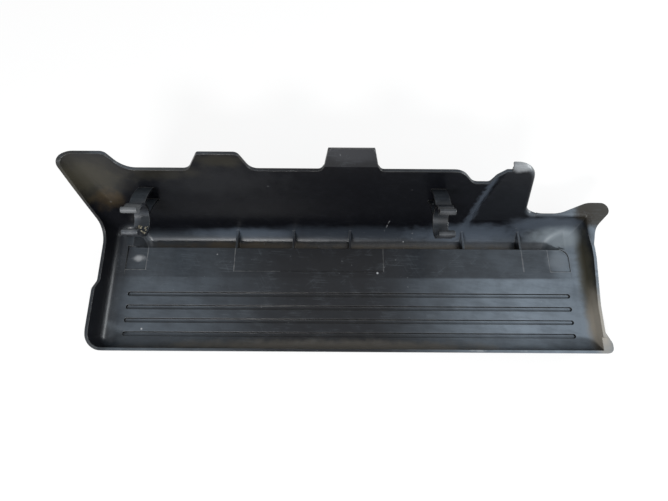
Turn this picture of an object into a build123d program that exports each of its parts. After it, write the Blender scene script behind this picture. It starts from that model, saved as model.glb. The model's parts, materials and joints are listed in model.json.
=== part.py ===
from build123d import *
import os
from math import atan2, cos, degrees, radians, sin, tan

# Injector line cover: one moulded plastic shell that clips over the fuel rail of an engine.
# It lies on its outer face with the hollow side up. X runs along the cover, Y from the front
# edge to the tall back wall and Z up out of the hollow.
# Lengths are millimetres and angles degrees. Until the last step x is measured from the middle
# of the floor, y from the sharp front root of the floor and z from the floor's inner face.

# Shell
wall = 2.4
floor_length = 409.0
floor_depth = 107.3
back_lean = 15.0
left_lean = 9.4
right_lean = 4.0
front_lean = 6.0
root_radius = 9.5
left_front_corner_radius = 9.8
left_rear_corner_radius = 12.5
right_root_radius = 8.5
right_corner_radius = 1.2
blank_height = 115.0

# Rim heights above the floor
front_height = 13.0
left_corner_height = 18.0
left_front_height = 23.0
left_rear_height = 17.6
right_front_height = 15.0
wing_height = 89.6
scallop_height = 72.6
notch_height = 59.5

# Left end: the step in its top edge and the edge that climbs to the wing
left_step_from_front = 45.0
left_step_run = 8.0
climb_from_back = 8.9
climb_lean = 20.6
climb_radius = 20.0
wing_tip_radius = 9.0

# Back edge, lengths along x from the left end of the floor
wing_length = 20.0
wing_slope_run = 9.0
tab_a_from_left = 78.8
tab_a_side_run = 10.1
tab_a_length = 30.1
tab_a_slope_run = 8.1

# Back edge, lengths along x from the middle of the floor
tab_b_middle = 0.0
tab_b_base = 41.0
tab_b_top = 34.5
tab_b_slope_run = 3.0
tab_b_fold_height = 77.5
tab_b_lean = 40.0
tab_b_length = 14.5
tab_b_round = 4.0

# Back edge and step, lengths along x from the right end of the floor
straight_end_from_right = 118.0
notch_from_right = 107.0
notch_end_from_right = 94.1
step_foot_from_right = 101.5
step_top_from_right = 91.1
step_top_height = 64.0
step_angle = 62.0

# Pocket: the part of the back wall right of the step, which leans further out
pocket_lean = 20.0
pocket_foot_height = 13.0
pocket_height = 70.0
shoulder_height = 66.6
pocket_crown_radius = 15.0
pocket_side_top_from_right = 62.0
pocket_side_foot_from_right = 54.0
low_wall_radius = 12.0
low_wall_height = 16.8

# Rolled rim of the pocket and the low wall
rim_start_from_right = 77.5
rim_radius = 3.6
rim_wall = 2.0
rim_lip = 1.4
rim_turn = 70.0
rim_root = 1.2

# Flared tip of the rim at the rear right corner, as reaches beyond the inner wall faces
tip_reach_right = 29.5
tip_reach_back = 13.0
tip_start_from_right = 22.0
low_wall_reach = 2.8
tip_round = 6.5
tip_lip = 30.0

# Ear of the rim at the front right corner
ear_reach = 8.2
ear_length = 24.0
ear_round = 4.5

# Long grooves in the floor, which stand out as ribs on the outer face
groove_count = 4
groove_pitch = 11.4
groove_from_front = 11.8
groove_width = 3.8
groove_depth = 2.0
groove_from_left = 14.0
groove_from_right = 13.5
rib_width = 8.4

# Trench between the floor panel and the back wall
trench_front = 88.6
trench_depth = 15.0
trench_radius = 19.0
trench_from_left = 13.0
trench_from_right = 12.0
trench_left_lean = 35.0
trench_right_lean = 42.0
trench_end_radius = 6.0

# Shallow wedge sunk into the floor in front of the trench, with a lower pad at each end
panel_from_left = 8.7
panel_from_right = 9.7
panel_front = 61.0
panel_depth = 1.5
panel_corner_radius = 8.0
pad_length = 17.5
pad_front = 68.0
pad_sink = 0.6
insert_from_left = 103.9
insert_length = 131.3
insert_front = 67.0
insert_sink = 0.3

# Webs across the trench
web_wall = 1.8
web_pitch = 50.8
web_middle = 1.5
web_steps = (-2, -1, 0, 2, 3)
web_front_drop = 0.8
web_back_drop = 3.4

# Rail clips on the back wall
clip_bore_radius = 11.0
clip_wall = 2.0
clip_length = 12.0
clip_height = 62.2
clip_from_front = 89.8
clip_mouth_start = 85.0
clip_mouth_end = 147.0
clip_lip_radius = 2.4
clip_lip_set_out = 3.6
left_clip_from_left = 39.9
right_clip_from_right = 133.3
strap_wall = 1.8
strap_rise = 1.8
upper_strap_angle = 15.0
upper_strap_height = 51.0
lower_strap_angle = -46.0
lower_strap_height = 37.0

left_x = -floor_length / 2
right_x = floor_length / 2
far = 3 * floor_length
deep = -3 * trench_depth
back_slope = tan(radians(back_lean))
pocket_slope = tan(radians(pocket_lean))
right_slope = tan(radians(right_lean))
climb_slope = tan(radians(climb_lean))
panel_slope = panel_depth / (trench_front - panel_front)
lip_level = low_wall_height + rim_radius * sin(radians(rim_turn)) * cos(radians(pocket_lean))


def back_y(z):
    """Y of the back wall's inner face at a height."""
    return floor_depth + back_slope * z


def pocket_y(z):
    """Y of the pocket's inner face at a height."""
    return back_y(pocket_foot_height) + pocket_slope * (z - pocket_foot_height)


def panel_z(y):
    """Height of the sunken panel at a distance from the front."""
    return -panel_slope * (y - panel_front)


def leaning_plane(foot, outward, lean):
    """Plane through a foot point that leans outwards, with its normal pointing out."""
    normal = outward * cos(radians(lean)) - Vector(0, 0, 1) * sin(radians(lean))
    return Plane(foot, z_dir=normal)


def under_line(points, radii):
    """Face under a line of straight runs whose inner corners are round."""
    top = FilletPolyline(*points, radius=radii)
    sides = Polyline(points[-1], (points[-1][0], deep), (points[0][0], deep), points[0])
    return make_face(top.edges() + sides.edges())


def along_y(face, y_from, y_to):
    """Solid of a front view face (x, z) between two y values."""
    return Pos(0, y_to, 0) * extrude(Plane.XZ * face, y_to - y_from)


def along_x(face, x_from, x_to):
    """Solid of a side view face (y, z) between two x values."""
    return Pos(x_from, 0, 0) * extrude(Plane.YZ * face, x_to - x_from)


def slab(x_from, x_to, y_from, y_to, z_from, z_to):
    """Box between two corners."""
    box = Box(x_to - x_from, y_to - y_from, z_to - z_from)
    return Pos((x_from + x_to) / 2, (y_from + y_to) / 2, (z_from + z_to) / 2) * box


def left_uprights(block):
    """Upright edges at a block's left end, from the front to the back."""
    uprights = block.edges().filter_by(lambda edge: abs(edge.tangent_at(0.5).Z) > 0.5)
    return uprights.filter_by(lambda edge: edge.center().X < 0).sort_by(Axis.Y)


def shaft(grow, bottom):
    """Room between the leaning sides above a level, with its left corners round."""
    sides = [
        leaning_plane(Vector(0, floor_depth, 0), Vector(0, 1, 0), back_lean),
        leaning_plane(Vector(0, 0, 0), Vector(0, -1, 0), front_lean),
        leaning_plane(Vector(left_x, 0, 0), Vector(-1, 0, 0), left_lean),
    ]
    block = slab(-floor_length, floor_length, -far, far, bottom, blank_height)
    for side in sides:
        block = split(block, bisect_by=side.offset(grow), keep=Keep.BOTTOM)
    block = fillet(left_uprights(block)[0], left_front_corner_radius + grow)
    return fillet(left_uprights(block)[-1], left_rear_corner_radius + grow)


def tub(grow):
    """Hollow of the cover above its floor, grown outwards by a wall."""
    block = shaft(grow, -grow)
    roots = block.faces().sort_by(Axis.Z)[0].edges().sort_by(Axis.X)[:-1]
    block = fillet(roots, root_radius + grow)
    return block & right_end(grow)


def right_end(grow):
    """Everything left of the right end wall, with the round root of that wall."""
    end_plane = leaning_plane(Vector(right_x, 0, 0), Vector(1, 0, 0), right_lean)
    reach = slab(-far, far, -far, far, -grow, blank_height)
    reach = split(reach, bisect_by=end_plane.offset(grow), keep=Keep.BOTTOM)
    root = reach.faces().sort_by(Axis.Z)[0].edges().sort_by(Axis.X)[-1]
    return fillet(root, right_root_radius + grow)


def trench(grow):
    """Channel behind the floor panel, with a round bottom that runs up into the back wall."""
    face = make_face(Polyline(
        (trench_front, trench_depth), (trench_front, -trench_depth),
        (back_y(-trench_depth), -trench_depth), (back_y(trench_depth), trench_depth), close=True))
    corner = face.vertices().sort_by(Axis.Y)[:2].sort_by(Axis.X)[-1]
    face = fillet(corner, trench_radius)
    if grow:
        face = offset(face, grow, kind=Kind.INTERSECTION)
    channel = along_x(face, left_x - 60, right_x + 60)
    ends = [
        leaning_plane(Vector(left_x + trench_from_left, 0, 0), Vector(-1, 0, 0), trench_left_lean),
        leaning_plane(Vector(right_x - trench_from_right, 0, 0), Vector(1, 0, 0), trench_right_lean),
    ]
    for end in ends:
        channel = split(channel, bisect_by=end.offset(grow), keep=Keep.BOTTOM)
    low = channel.faces().sort_by(Axis.Z)[0]
    turns = low.edges().filter_by(Axis.Y)
    channel = fillet(turns, trench_end_radius + grow)
    end_plane = leaning_plane(Vector(right_x, 0, 0), Vector(1, 0, 0), right_lean)
    channel = split(channel, bisect_by=end_plane.offset(grow), keep=Keep.BOTTOM)
    return channel & shaft(grow, -trench_depth - 2 * wall)


def pocket(grow):
    """Room behind the back wall's plane, right of the step, grown outwards by a wall."""
    foot = Vector(right_x - step_foot_from_right, floor_depth, 0)
    top_x = right_x - step_top_from_right
    top = Vector(top_x, back_y(step_top_height), step_top_height)
    turn = radians(step_angle)
    across = Vector(sin(turn), cos(turn), 0)
    step_normal = (top - foot).cross(across)
    step = Plane(foot, z_dir=step_normal)
    if step_normal.X > 0:
        step = Plane(foot, z_dir=-step_normal)
    back = leaning_plane(
        Vector(0, pocket_y(pocket_foot_height), pocket_foot_height), Vector(0, 1, 0), pocket_lean)
    end = leaning_plane(Vector(right_x, 0, 0), Vector(1, 0, 0), right_lean)
    block = slab(0, far, floor_depth - 10, far, pocket_foot_height - 1.5, blank_height)
    for side in (step, back, end):
        block = split(block, bisect_by=side.offset(grow), keep=Keep.BOTTOM)
    return block


def hollow(grow):
    """Whole inside of the cover, grown outwards by a wall."""
    return tub(grow) + trench(grow) + pocket(grow)


def back_trim():
    """Room under the back edge as far as the pocket, with its wing, tabs and notch."""
    tab_a = left_x + tab_a_from_left
    tab_a_start = tab_a + tab_a_side_run
    tab_a_end = tab_a_start + tab_a_length
    tab_b_left = tab_b_middle - tab_b_base / 2
    tab_b_right = tab_b_middle + tab_b_base / 2
    corners = [
        (left_x - 60, wing_height, 0),
        (left_x + wing_length, wing_height, 5),
        (left_x + wing_length + wing_slope_run, scallop_height, 16),
        (tab_a, scallop_height, 7),
        (tab_a_start, wing_height, 3),
        (tab_a_end, wing_height, 5),
        (tab_a_end + tab_a_slope_run, scallop_height, 9),
        (tab_b_left - tab_b_slope_run, scallop_height, 4),
        (tab_b_left, tab_b_fold_height, 0.5),
        (tab_b_right, tab_b_fold_height, 0.5),
        (tab_b_right + tab_b_slope_run, scallop_height, 4),
        (right_x - straight_end_from_right, scallop_height, 14),
        (right_x - notch_from_right, notch_height, 8),
        (right_x - notch_end_from_right, notch_height, 3),
        (right_x - notch_end_from_right + 3.5, shoulder_height, 3),
        (right_x - rim_start_from_right, shoulder_height, 0.1),
        (right_x - rim_start_from_right, blank_height, 0.1),
        (far, blank_height, 0),
    ]
    points = [(x, z) for x, z, _ in corners]
    radii = [radius for _, _, radius in corners[1:-1]]
    return along_y(under_line(points, radii), -far, far)


def left_trim():
    """Room under the left end's top edge, which steps down and then climbs to the wing."""
    climb_y = floor_depth - climb_from_back
    climb_rise = wing_height - left_rear_height
    step_end = left_step_from_front + left_step_run
    points = [
        (-far, left_corner_height),
        (-5, left_corner_height),
        (10, left_front_height),
        (left_step_from_front, left_front_height),
        (step_end, left_rear_height),
        (climb_y, left_rear_height),
        (climb_y + climb_slope * climb_rise, wing_height),
        (far, wing_height),
    ]
    radii = [6, 20, 5, 4, climb_radius, wing_tip_radius]
    end = along_x(under_line(points, radii), left_x - 60, left_x + wing_length)
    return end + slab(left_x + wing_length, far, -far, far, deep, blank_height)


def right_trim():
    """Room under the right end's top edge, which rises towards the back."""
    points = [
        (-far, right_front_height),
        (floor_depth / 3, right_front_height),
        (floor_depth * 0.7, lip_level),
        (floor_depth * 0.78, lip_level),
        (floor_depth * 0.94, low_wall_height),
        (far, low_wall_height),
    ]
    end = along_x(under_line(points, [40, 10, 12, 12]), right_x - 6, right_x + 60)
    return end + slab(-far, right_x - 6, -far, far, deep, blank_height)


def front_trim():
    """Room under the front edge."""
    points = [
        (left_x - 60, blank_height),
        (left_x - 6, blank_height),
        (left_x + 2, left_corner_height),
        (left_x + left_front_corner_radius + 10, front_height),
        (far, front_height),
    ]
    front = along_y(under_line(points, [0.5, 8, 20]), -far, 9)
    return front + slab(-far, far, 9, far, deep, blank_height)


def pocket_sheet():
    """Plane of the pocket's inner face, x along the cover and y up the slope."""
    lean = radians(pocket_lean)
    foot = (0, pocket_y(pocket_foot_height), pocket_foot_height)
    return Plane(foot, x_dir=(1, 0, 0), z_dir=(0, -cos(lean), sin(lean)))


def rim_points():
    """Corners of the pocket's edge on its sheet, from the left to the rear right corner."""
    stretch = 1 / cos(radians(pocket_lean))
    high = (pocket_height - pocket_foot_height) * stretch
    low = (low_wall_height - pocket_foot_height) * stretch
    return [
        (right_x - rim_start_from_right, high),
        (right_x - pocket_side_top_from_right, high),
        (right_x - pocket_side_foot_from_right, low),
        (right_x - right_corner_radius, low),
    ]


def pocket_cut():
    """Everything above the pocket's edge."""
    points = rim_points()
    start = points[0]
    edge = FilletPolyline(
        (start[0] - 1, start[1]), *points[1:3], (right_x + 30, points[3][1]),
        radius=[pocket_crown_radius, low_wall_radius])
    top = Polyline(
        (right_x + 30, points[3][1]), (right_x + 30, 2 * blank_height),
        (start[0] - 1, 2 * blank_height), (start[0] - 1, start[1]))
    face = pocket_sheet() * make_face(edge.edges() + top.edges())
    return extrude(face, 9, both=True)


def rolled_section(turn, lip):
    """Section of a rim (outwards, up): a short wall that rolls outwards into a lip."""
    end = radians(180 - turn)
    middle = radians(180 - turn / 2)
    small = rim_radius - rim_wall
    centre = Vector(rim_radius, 0)
    along = Vector(sin(end), -cos(end)) * lip
    over = [centre + Vector(cos(angle), sin(angle)) * rim_radius for angle in (middle, end)]
    under = [centre + Vector(cos(angle), sin(angle)) * small for angle in (middle, end)]
    outline = [
        Line((0, -rim_root), (0, 0)),
        ThreePointArc((0, 0), over[0], over[1]),
        Line(over[1], over[1] + along),
        Line(over[1] + along, under[1] + along),
        Line(under[1] + along, under[1]),
        ThreePointArc(under[1], under[0], (rim_wall, 0)),
        Line((rim_wall, 0), (rim_wall, -rim_root)),
        Line((rim_wall, -rim_root), (0, -rim_root)),
    ]
    return make_face(outline)


def pocket_rim():
    """Rolled rim along the pocket's edge and the low wall."""
    path = pocket_sheet() * FilletPolyline(
        *rim_points(), radius=[pocket_crown_radius, low_wall_radius])
    section = rolled_section(rim_turn, rim_lip)
    outwards = -pocket_sheet().z_dir
    pieces = []
    for edge in path.edges():
        start = edge.position_at(0)
        tangent = edge.tangent_at(0)
        placed = Plane(start, x_dir=outwards, z_dir=tangent) * section
        if edge.geom_type == GeomType.LINE:
            pieces.append(extrude(placed, edge.length, dir=tangent))
        else:
            turn = Axis(edge.arc_center, (start - edge.arc_center).cross(tangent))
            pieces.append(revolve(placed, turn, degrees(edge.length / edge.radius)))
    return pieces


def tip():
    """Flared tip of the rim, a level lip rolled round the rear right corner."""
    root = lip_level - rim_radius
    corner_x = right_x + right_slope * root
    corner_y = pocket_y(root)
    centre_x = corner_x - right_corner_radius
    centre_y = corner_y - right_corner_radius
    start_x = right_x - tip_start_from_right
    section = rolled_section(90, tip_lip)
    rear = Plane((start_x - 20, corner_y, root), x_dir=(0, 1, 0), z_dir=(1, 0, 0)) * section
    bend = Plane((centre_x, corner_y, root), x_dir=(0, 1, 0), z_dir=(1, 0, 0)) * section
    side = Plane((corner_x, centre_y, root), x_dir=(1, 0, 0), z_dir=(0, -1, 0)) * section
    lips = extrude(rear, centre_x - start_x + 20, dir=(1, 0, 0))
    lips = lips + revolve(bend, Axis((centre_x, centre_y, 0), (0, 0, -1)), 90)
    lips = lips + extrude(side, floor_depth / 3, dir=(0, -1, 0))
    return lips & rim_plan()


def rim_plan():
    """Room inside the rim's plan outline, from the pocket's side round to the end wall."""
    root = lip_level - rim_radius
    corner_x = right_x + right_slope * root
    corner_y = pocket_y(root)
    side_x = right_x - pocket_side_foot_from_right
    edge_y = corner_y + low_wall_reach
    peak_y = corner_y + tip_reach_back
    peak_x = corner_x + tip_reach_right
    outline = FilletPolyline(
        (0, 2 * floor_depth), (side_x, 2 * floor_depth), (side_x, edge_y + 5),
        (side_x + 14, edge_y), (right_x - tip_start_from_right, edge_y), (right_x + 3, peak_y),
        (peak_x, peak_y), (corner_x + 6, corner_y - 10), (corner_x + wall, corner_y - 25),
        (corner_x + wall, corner_y - 35), (0, corner_y - 35),
        radius=[1, 4, 20, 30, 20, tip_round, 18, 12, 0.5], close=False)
    close = Line((0, corner_y - 35), (0, 2 * floor_depth))
    return Pos(0, 0, -10) * extrude(make_face(outline.edges() + close.edges()), 150)


def ear():
    """Small flared ear of the rim at the front right corner."""
    edge_x = right_x + right_slope * front_height + wall
    outline = FilletPolyline(
        (edge_x - ear_length, -3.6), (edge_x + ear_reach - wall, -3.6),
        (edge_x + ear_reach - wall, 4.5), (edge_x + 0.6, ear_length * 0.6),
        (edge_x - 0.2, ear_length), (edge_x - ear_length, ear_length),
        radius=[ear_round, 5, 14, 0.2], close=False)
    close = Line((edge_x - ear_length, ear_length), (edge_x - ear_length, -3.6))
    plate = extrude(make_face(outline.edges() + close.edges()), rim_wall)
    return Pos(0, 0, front_height - rim_wall) * plate


def groove_cutters():
    """Long round-ended grooves along the floor."""
    length = floor_length - groove_from_left - groove_from_right
    middle_x = (groove_from_left - groove_from_right) / 2
    slot = SlotOverall(length, groove_width)
    cutters = []
    for index in range(groove_count):
        y = groove_from_front + groove_pitch * index
        cutters.append(Pos(middle_x, y, 0) * extrude(slot, -groove_depth, taper=14))
    return cutters


def outer_ribs():
    """Ribs under the grooves, on the outer face of the floor."""
    length = floor_length - groove_from_left - groove_from_right + rib_width - groove_width
    middle_x = (groove_from_left - groove_from_right) / 2
    slot = SlotOverall(length, rib_width)
    ribs = []
    for index in range(groove_count):
        y = groove_from_front + groove_pitch * index
        ribs.append(Pos(middle_x, y, -wall + 0.2) * extrude(slot, -groove_depth - 0.2, taper=8))
    return ribs


def panel_cutters():
    """Wedge sunk into the floor in front of the trench and the lower pads at its ends."""
    x_from = left_x + panel_from_left
    x_to = right_x - panel_from_right
    rear = trench_front + 1
    wedge = along_x(make_face(Polyline(
        (panel_front, 0), (rear, panel_z(rear)), (rear, 2), (panel_front, 2), close=True)), x_from, x_to)
    insert_x = left_x + insert_from_left
    fields = [
        (x_from, x_from + pad_length, pad_front, pad_sink),
        (x_to - pad_length, x_to, pad_front, pad_sink),
        (insert_x, insert_x + insert_length, insert_front, insert_sink),
    ]
    for start, end, front, sink in fields:
        face = make_face(Polyline(
            (front, panel_z(front) - sink), (rear, panel_z(rear) - sink), (rear, 1), (front, 1),
            close=True))
        wedge = wedge + along_x(face, start, end)
    plan = slab(x_from - 5, x_to, panel_front - 5, trench_front, -5, 5)
    corner = plan.edges().filter_by(Axis.Z).sort_by(Axis.X)[2:].sort_by(Axis.Y)[-1]
    plan = fillet(corner, panel_corner_radius)
    return wedge & (plan + slab(x_from - 5, right_x - 30, panel_front - 5, far, -5, 5))


def panel_backing():
    """Matching wedge on the outer face of the floor."""
    x_from = left_x + panel_from_left - wall
    x_to = right_x - panel_from_right + wall
    rear = trench_front - 0.5
    drop = wall + pad_sink
    face = make_face(Polyline(
        (panel_front - 1, -wall + 0.2), (panel_front, -drop), (rear, panel_z(rear) - drop),
        (rear, -wall + 0.2), close=True))
    return along_x(face, x_from, x_to)


def webs():
    """Webs across the trench."""
    rear = back_y(0)
    face = make_face(Polyline(
        (trench_front - wall, panel_z(trench_front) - web_front_drop),
        (trench_front, panel_z(trench_front) - web_front_drop),
        (rear, -web_back_drop), (rear + wall, -web_back_drop), (rear + wall, deep),
        (trench_front - wall, deep), close=True))
    room = trench(wall / 2)
    plates = []
    for step in web_steps:
        x = web_middle + web_pitch * step
        plates.append(along_x(face, x - web_wall / 2, x + web_wall / 2) & room)
    return plates


def rail_clip(x):
    """Open ring for the rail on two straps from the back wall, centred on an x."""
    centre = Vector(clip_from_front, clip_height)
    outer = clip_bore_radius + clip_wall
    sweep = 360 - (clip_mouth_end - clip_mouth_start)

    def at(radius, angle):
        return centre + Vector(cos(radians(angle)), sin(radians(angle))) * radius

    ring = make_face([
        CenterArc(centre, outer, clip_mouth_end, sweep),
        CenterArc(centre, clip_bore_radius, clip_mouth_end, sweep),
        Line(at(clip_bore_radius, clip_mouth_end), at(outer, clip_mouth_end)),
        Line(at(clip_bore_radius, clip_mouth_start), at(outer, clip_mouth_start)),
    ])
    section = ring
    lip_at = clip_bore_radius + clip_lip_set_out
    for angle in (clip_mouth_start - 4, clip_mouth_end + 4):
        section = section + Pos(*at(lip_at, angle)) * Circle(clip_lip_radius)
    straps = (
        (upper_strap_angle, upper_strap_height),
        (lower_strap_angle, lower_strap_height),
    )
    for angle, height in straps:
        start = at(clip_bore_radius + clip_wall / 2, angle)
        end = Vector(back_y(height) + wall / 2, height)
        chord = end - start
        bulge = Vector(-chord.Y, chord.X).normalized() * strap_rise
        arc = ThreePointArc(start, (start + end) / 2 + bulge, end)
        section = section + trace(arc, strap_wall)
    section = section - Pos(*centre) * Circle(clip_bore_radius)
    return along_x(section, x - clip_length / 2, x + clip_length / 2)


def folded_tab():
    """Tab of the back edge that is folded further back."""
    first = radians(back_lean)
    second = radians(tab_b_lean)
    low = tab_b_fold_height - 3
    out_first = Vector(cos(first), -sin(first))
    out_second = Vector(cos(second), -sin(second))
    miter = (out_first + out_second) / (1 + out_first.dot(out_second))
    foot = Vector(back_y(low), low)
    fold = Vector(back_y(tab_b_fold_height), tab_b_fold_height)
    end = fold + Vector(sin(second), cos(second)) * tab_b_length
    face = make_face(Polyline(
        foot, fold, end, end + out_second * wall, fold + miter * wall, foot + out_first * wall,
        close=True))
    plate = along_x(face, tab_b_middle - tab_b_base, tab_b_middle + tab_b_base)
    half_base = tab_b_base / 2
    half_top = tab_b_top / 2
    outline = FilletPolyline(
        (tab_b_middle - half_base, low), (tab_b_middle - half_base, tab_b_fold_height),
        (tab_b_middle - half_top, end.Y), (tab_b_middle + half_top, end.Y),
        (tab_b_middle + half_base, tab_b_fold_height), (tab_b_middle + half_base, low),
        radius=[0.5, tab_b_round, tab_b_round, 0.5], close=False)
    base = Line((tab_b_middle + half_base, low), (tab_b_middle - half_base, low))
    return plate & along_y(make_face(outline.edges() + base.edges()), 0, 2 * floor_depth)


room = hollow(0)
body = hollow(wall) - room
body = body & back_trim() & left_trim() & right_trim() & front_trim()
body = body - pocket_cut()
body = body + outer_ribs() + panel_backing()
body = body - groove_cutters()
body = body - panel_cutters()
body = body + webs()
body = body + [piece & rim_plan() for piece in pocket_rim()]
body = body + tip() + (ear() - room)
body = body + rail_clip(left_x + left_clip_from_left) + rail_clip(right_x - right_clip_from_right)
body = body + folded_tab()
cover = body

# At rest the cover lies on the front rib and on the front edge of the trench's outer face.
rib_contact_y = groove_from_front - rib_width / 2
rib_contact_z = -wall - groove_depth
trench_contact_y = trench_front - wall
trench_contact_z = -trench_depth - wall
rest_turn = degrees(atan2(rib_contact_z - trench_contact_z, trench_contact_y - rib_contact_y))
turned = Rot(rest_turn, 0, 0) * cover
box = turned.bounding_box()
placed = Pos(-box.center().X, -box.center().Y, -box.min.Z) * turned
os.makedirs("parts", exist_ok=True)
export_step(placed, "parts/injector_line_cover.step")
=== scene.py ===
"""Looks of an injector line cover: a dusty black moulded shell on a pale studio floor."""

import json
import logging
import math
import random
from dataclasses import dataclass, field
from enum import Enum
from typing import NamedTuple, Sequence, Union

import bmesh
import bpy
from mathutils import Matrix, Vector

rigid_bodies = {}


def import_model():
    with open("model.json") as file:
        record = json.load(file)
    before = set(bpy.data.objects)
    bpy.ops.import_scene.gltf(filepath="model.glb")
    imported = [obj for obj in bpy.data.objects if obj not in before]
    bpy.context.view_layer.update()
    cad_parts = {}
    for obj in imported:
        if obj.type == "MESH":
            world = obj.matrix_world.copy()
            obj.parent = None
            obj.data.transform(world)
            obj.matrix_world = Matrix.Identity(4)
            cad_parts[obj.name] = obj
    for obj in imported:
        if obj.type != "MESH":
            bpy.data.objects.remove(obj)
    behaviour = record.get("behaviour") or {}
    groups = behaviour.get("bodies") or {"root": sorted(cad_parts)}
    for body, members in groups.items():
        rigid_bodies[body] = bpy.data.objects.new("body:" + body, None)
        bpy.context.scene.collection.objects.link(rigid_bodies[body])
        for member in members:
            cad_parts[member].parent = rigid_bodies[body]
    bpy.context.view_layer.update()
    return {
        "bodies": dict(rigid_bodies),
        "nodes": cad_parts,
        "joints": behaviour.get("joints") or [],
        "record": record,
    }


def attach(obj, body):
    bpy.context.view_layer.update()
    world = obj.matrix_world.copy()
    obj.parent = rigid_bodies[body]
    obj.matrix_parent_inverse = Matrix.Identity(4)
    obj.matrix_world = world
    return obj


LOG = logging.getLogger("injector_line_cover")

BODY = "root"
COVER_NODE = "injector_line_cover"
MM = 0.001

# Where the cover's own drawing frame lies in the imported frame: turned about X, then moved, in mm.
REST_TURN = math.radians(9.3914)
REST_SHIFT = Vector((-2.968, -58.077, 3.101))

# Sockets of a Mix node that carry colours.
MIX_UNDER, MIX_OVER, MIX_RESULT = 6, 7, 2

Colour = tuple[float, float, float]
Link = Union[bpy.types.NodeSocket, float, Sequence[float]]
Pair = tuple[bpy.types.NodeSocket, bpy.types.NodeSocket]


class Noise(NamedTuple):
    """Settings of a noise texture.

    Attributes:
        scale: How fine it is.
        detail: Number of finer layers.
        roughness: Weight of the finer layers.
    """

    scale: float
    detail: float = 3.0
    roughness: float = 0.55


class Ramp(NamedTuple):
    """Two ranges, the first of which is mapped to the second.

    Attributes:
        low: Start of the range read.
        high: End of the range read.
        to_low: Result at the start.
        to_high: Result at the end.
    """

    low: Link
    high: Link
    to_low: Link = 0.0
    to_high: Link = 1.0


def placed(point: Sequence[float]) -> Vector:
    """Turn a point of the cover's drawing, in mm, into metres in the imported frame.

    Args:
        point: x from the floor's middle, y from the front root, z from the inner floor.

    Returns:
        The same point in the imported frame.
    """
    turn = Matrix.Rotation(REST_TURN, 3, "X")
    return (turn @ Vector(point) + REST_SHIFT) * MM


class Blend(Enum):
    """How one colour is laid over another."""

    COVER = "MIX"
    DARKEN = "MULTIPLY"


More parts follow.
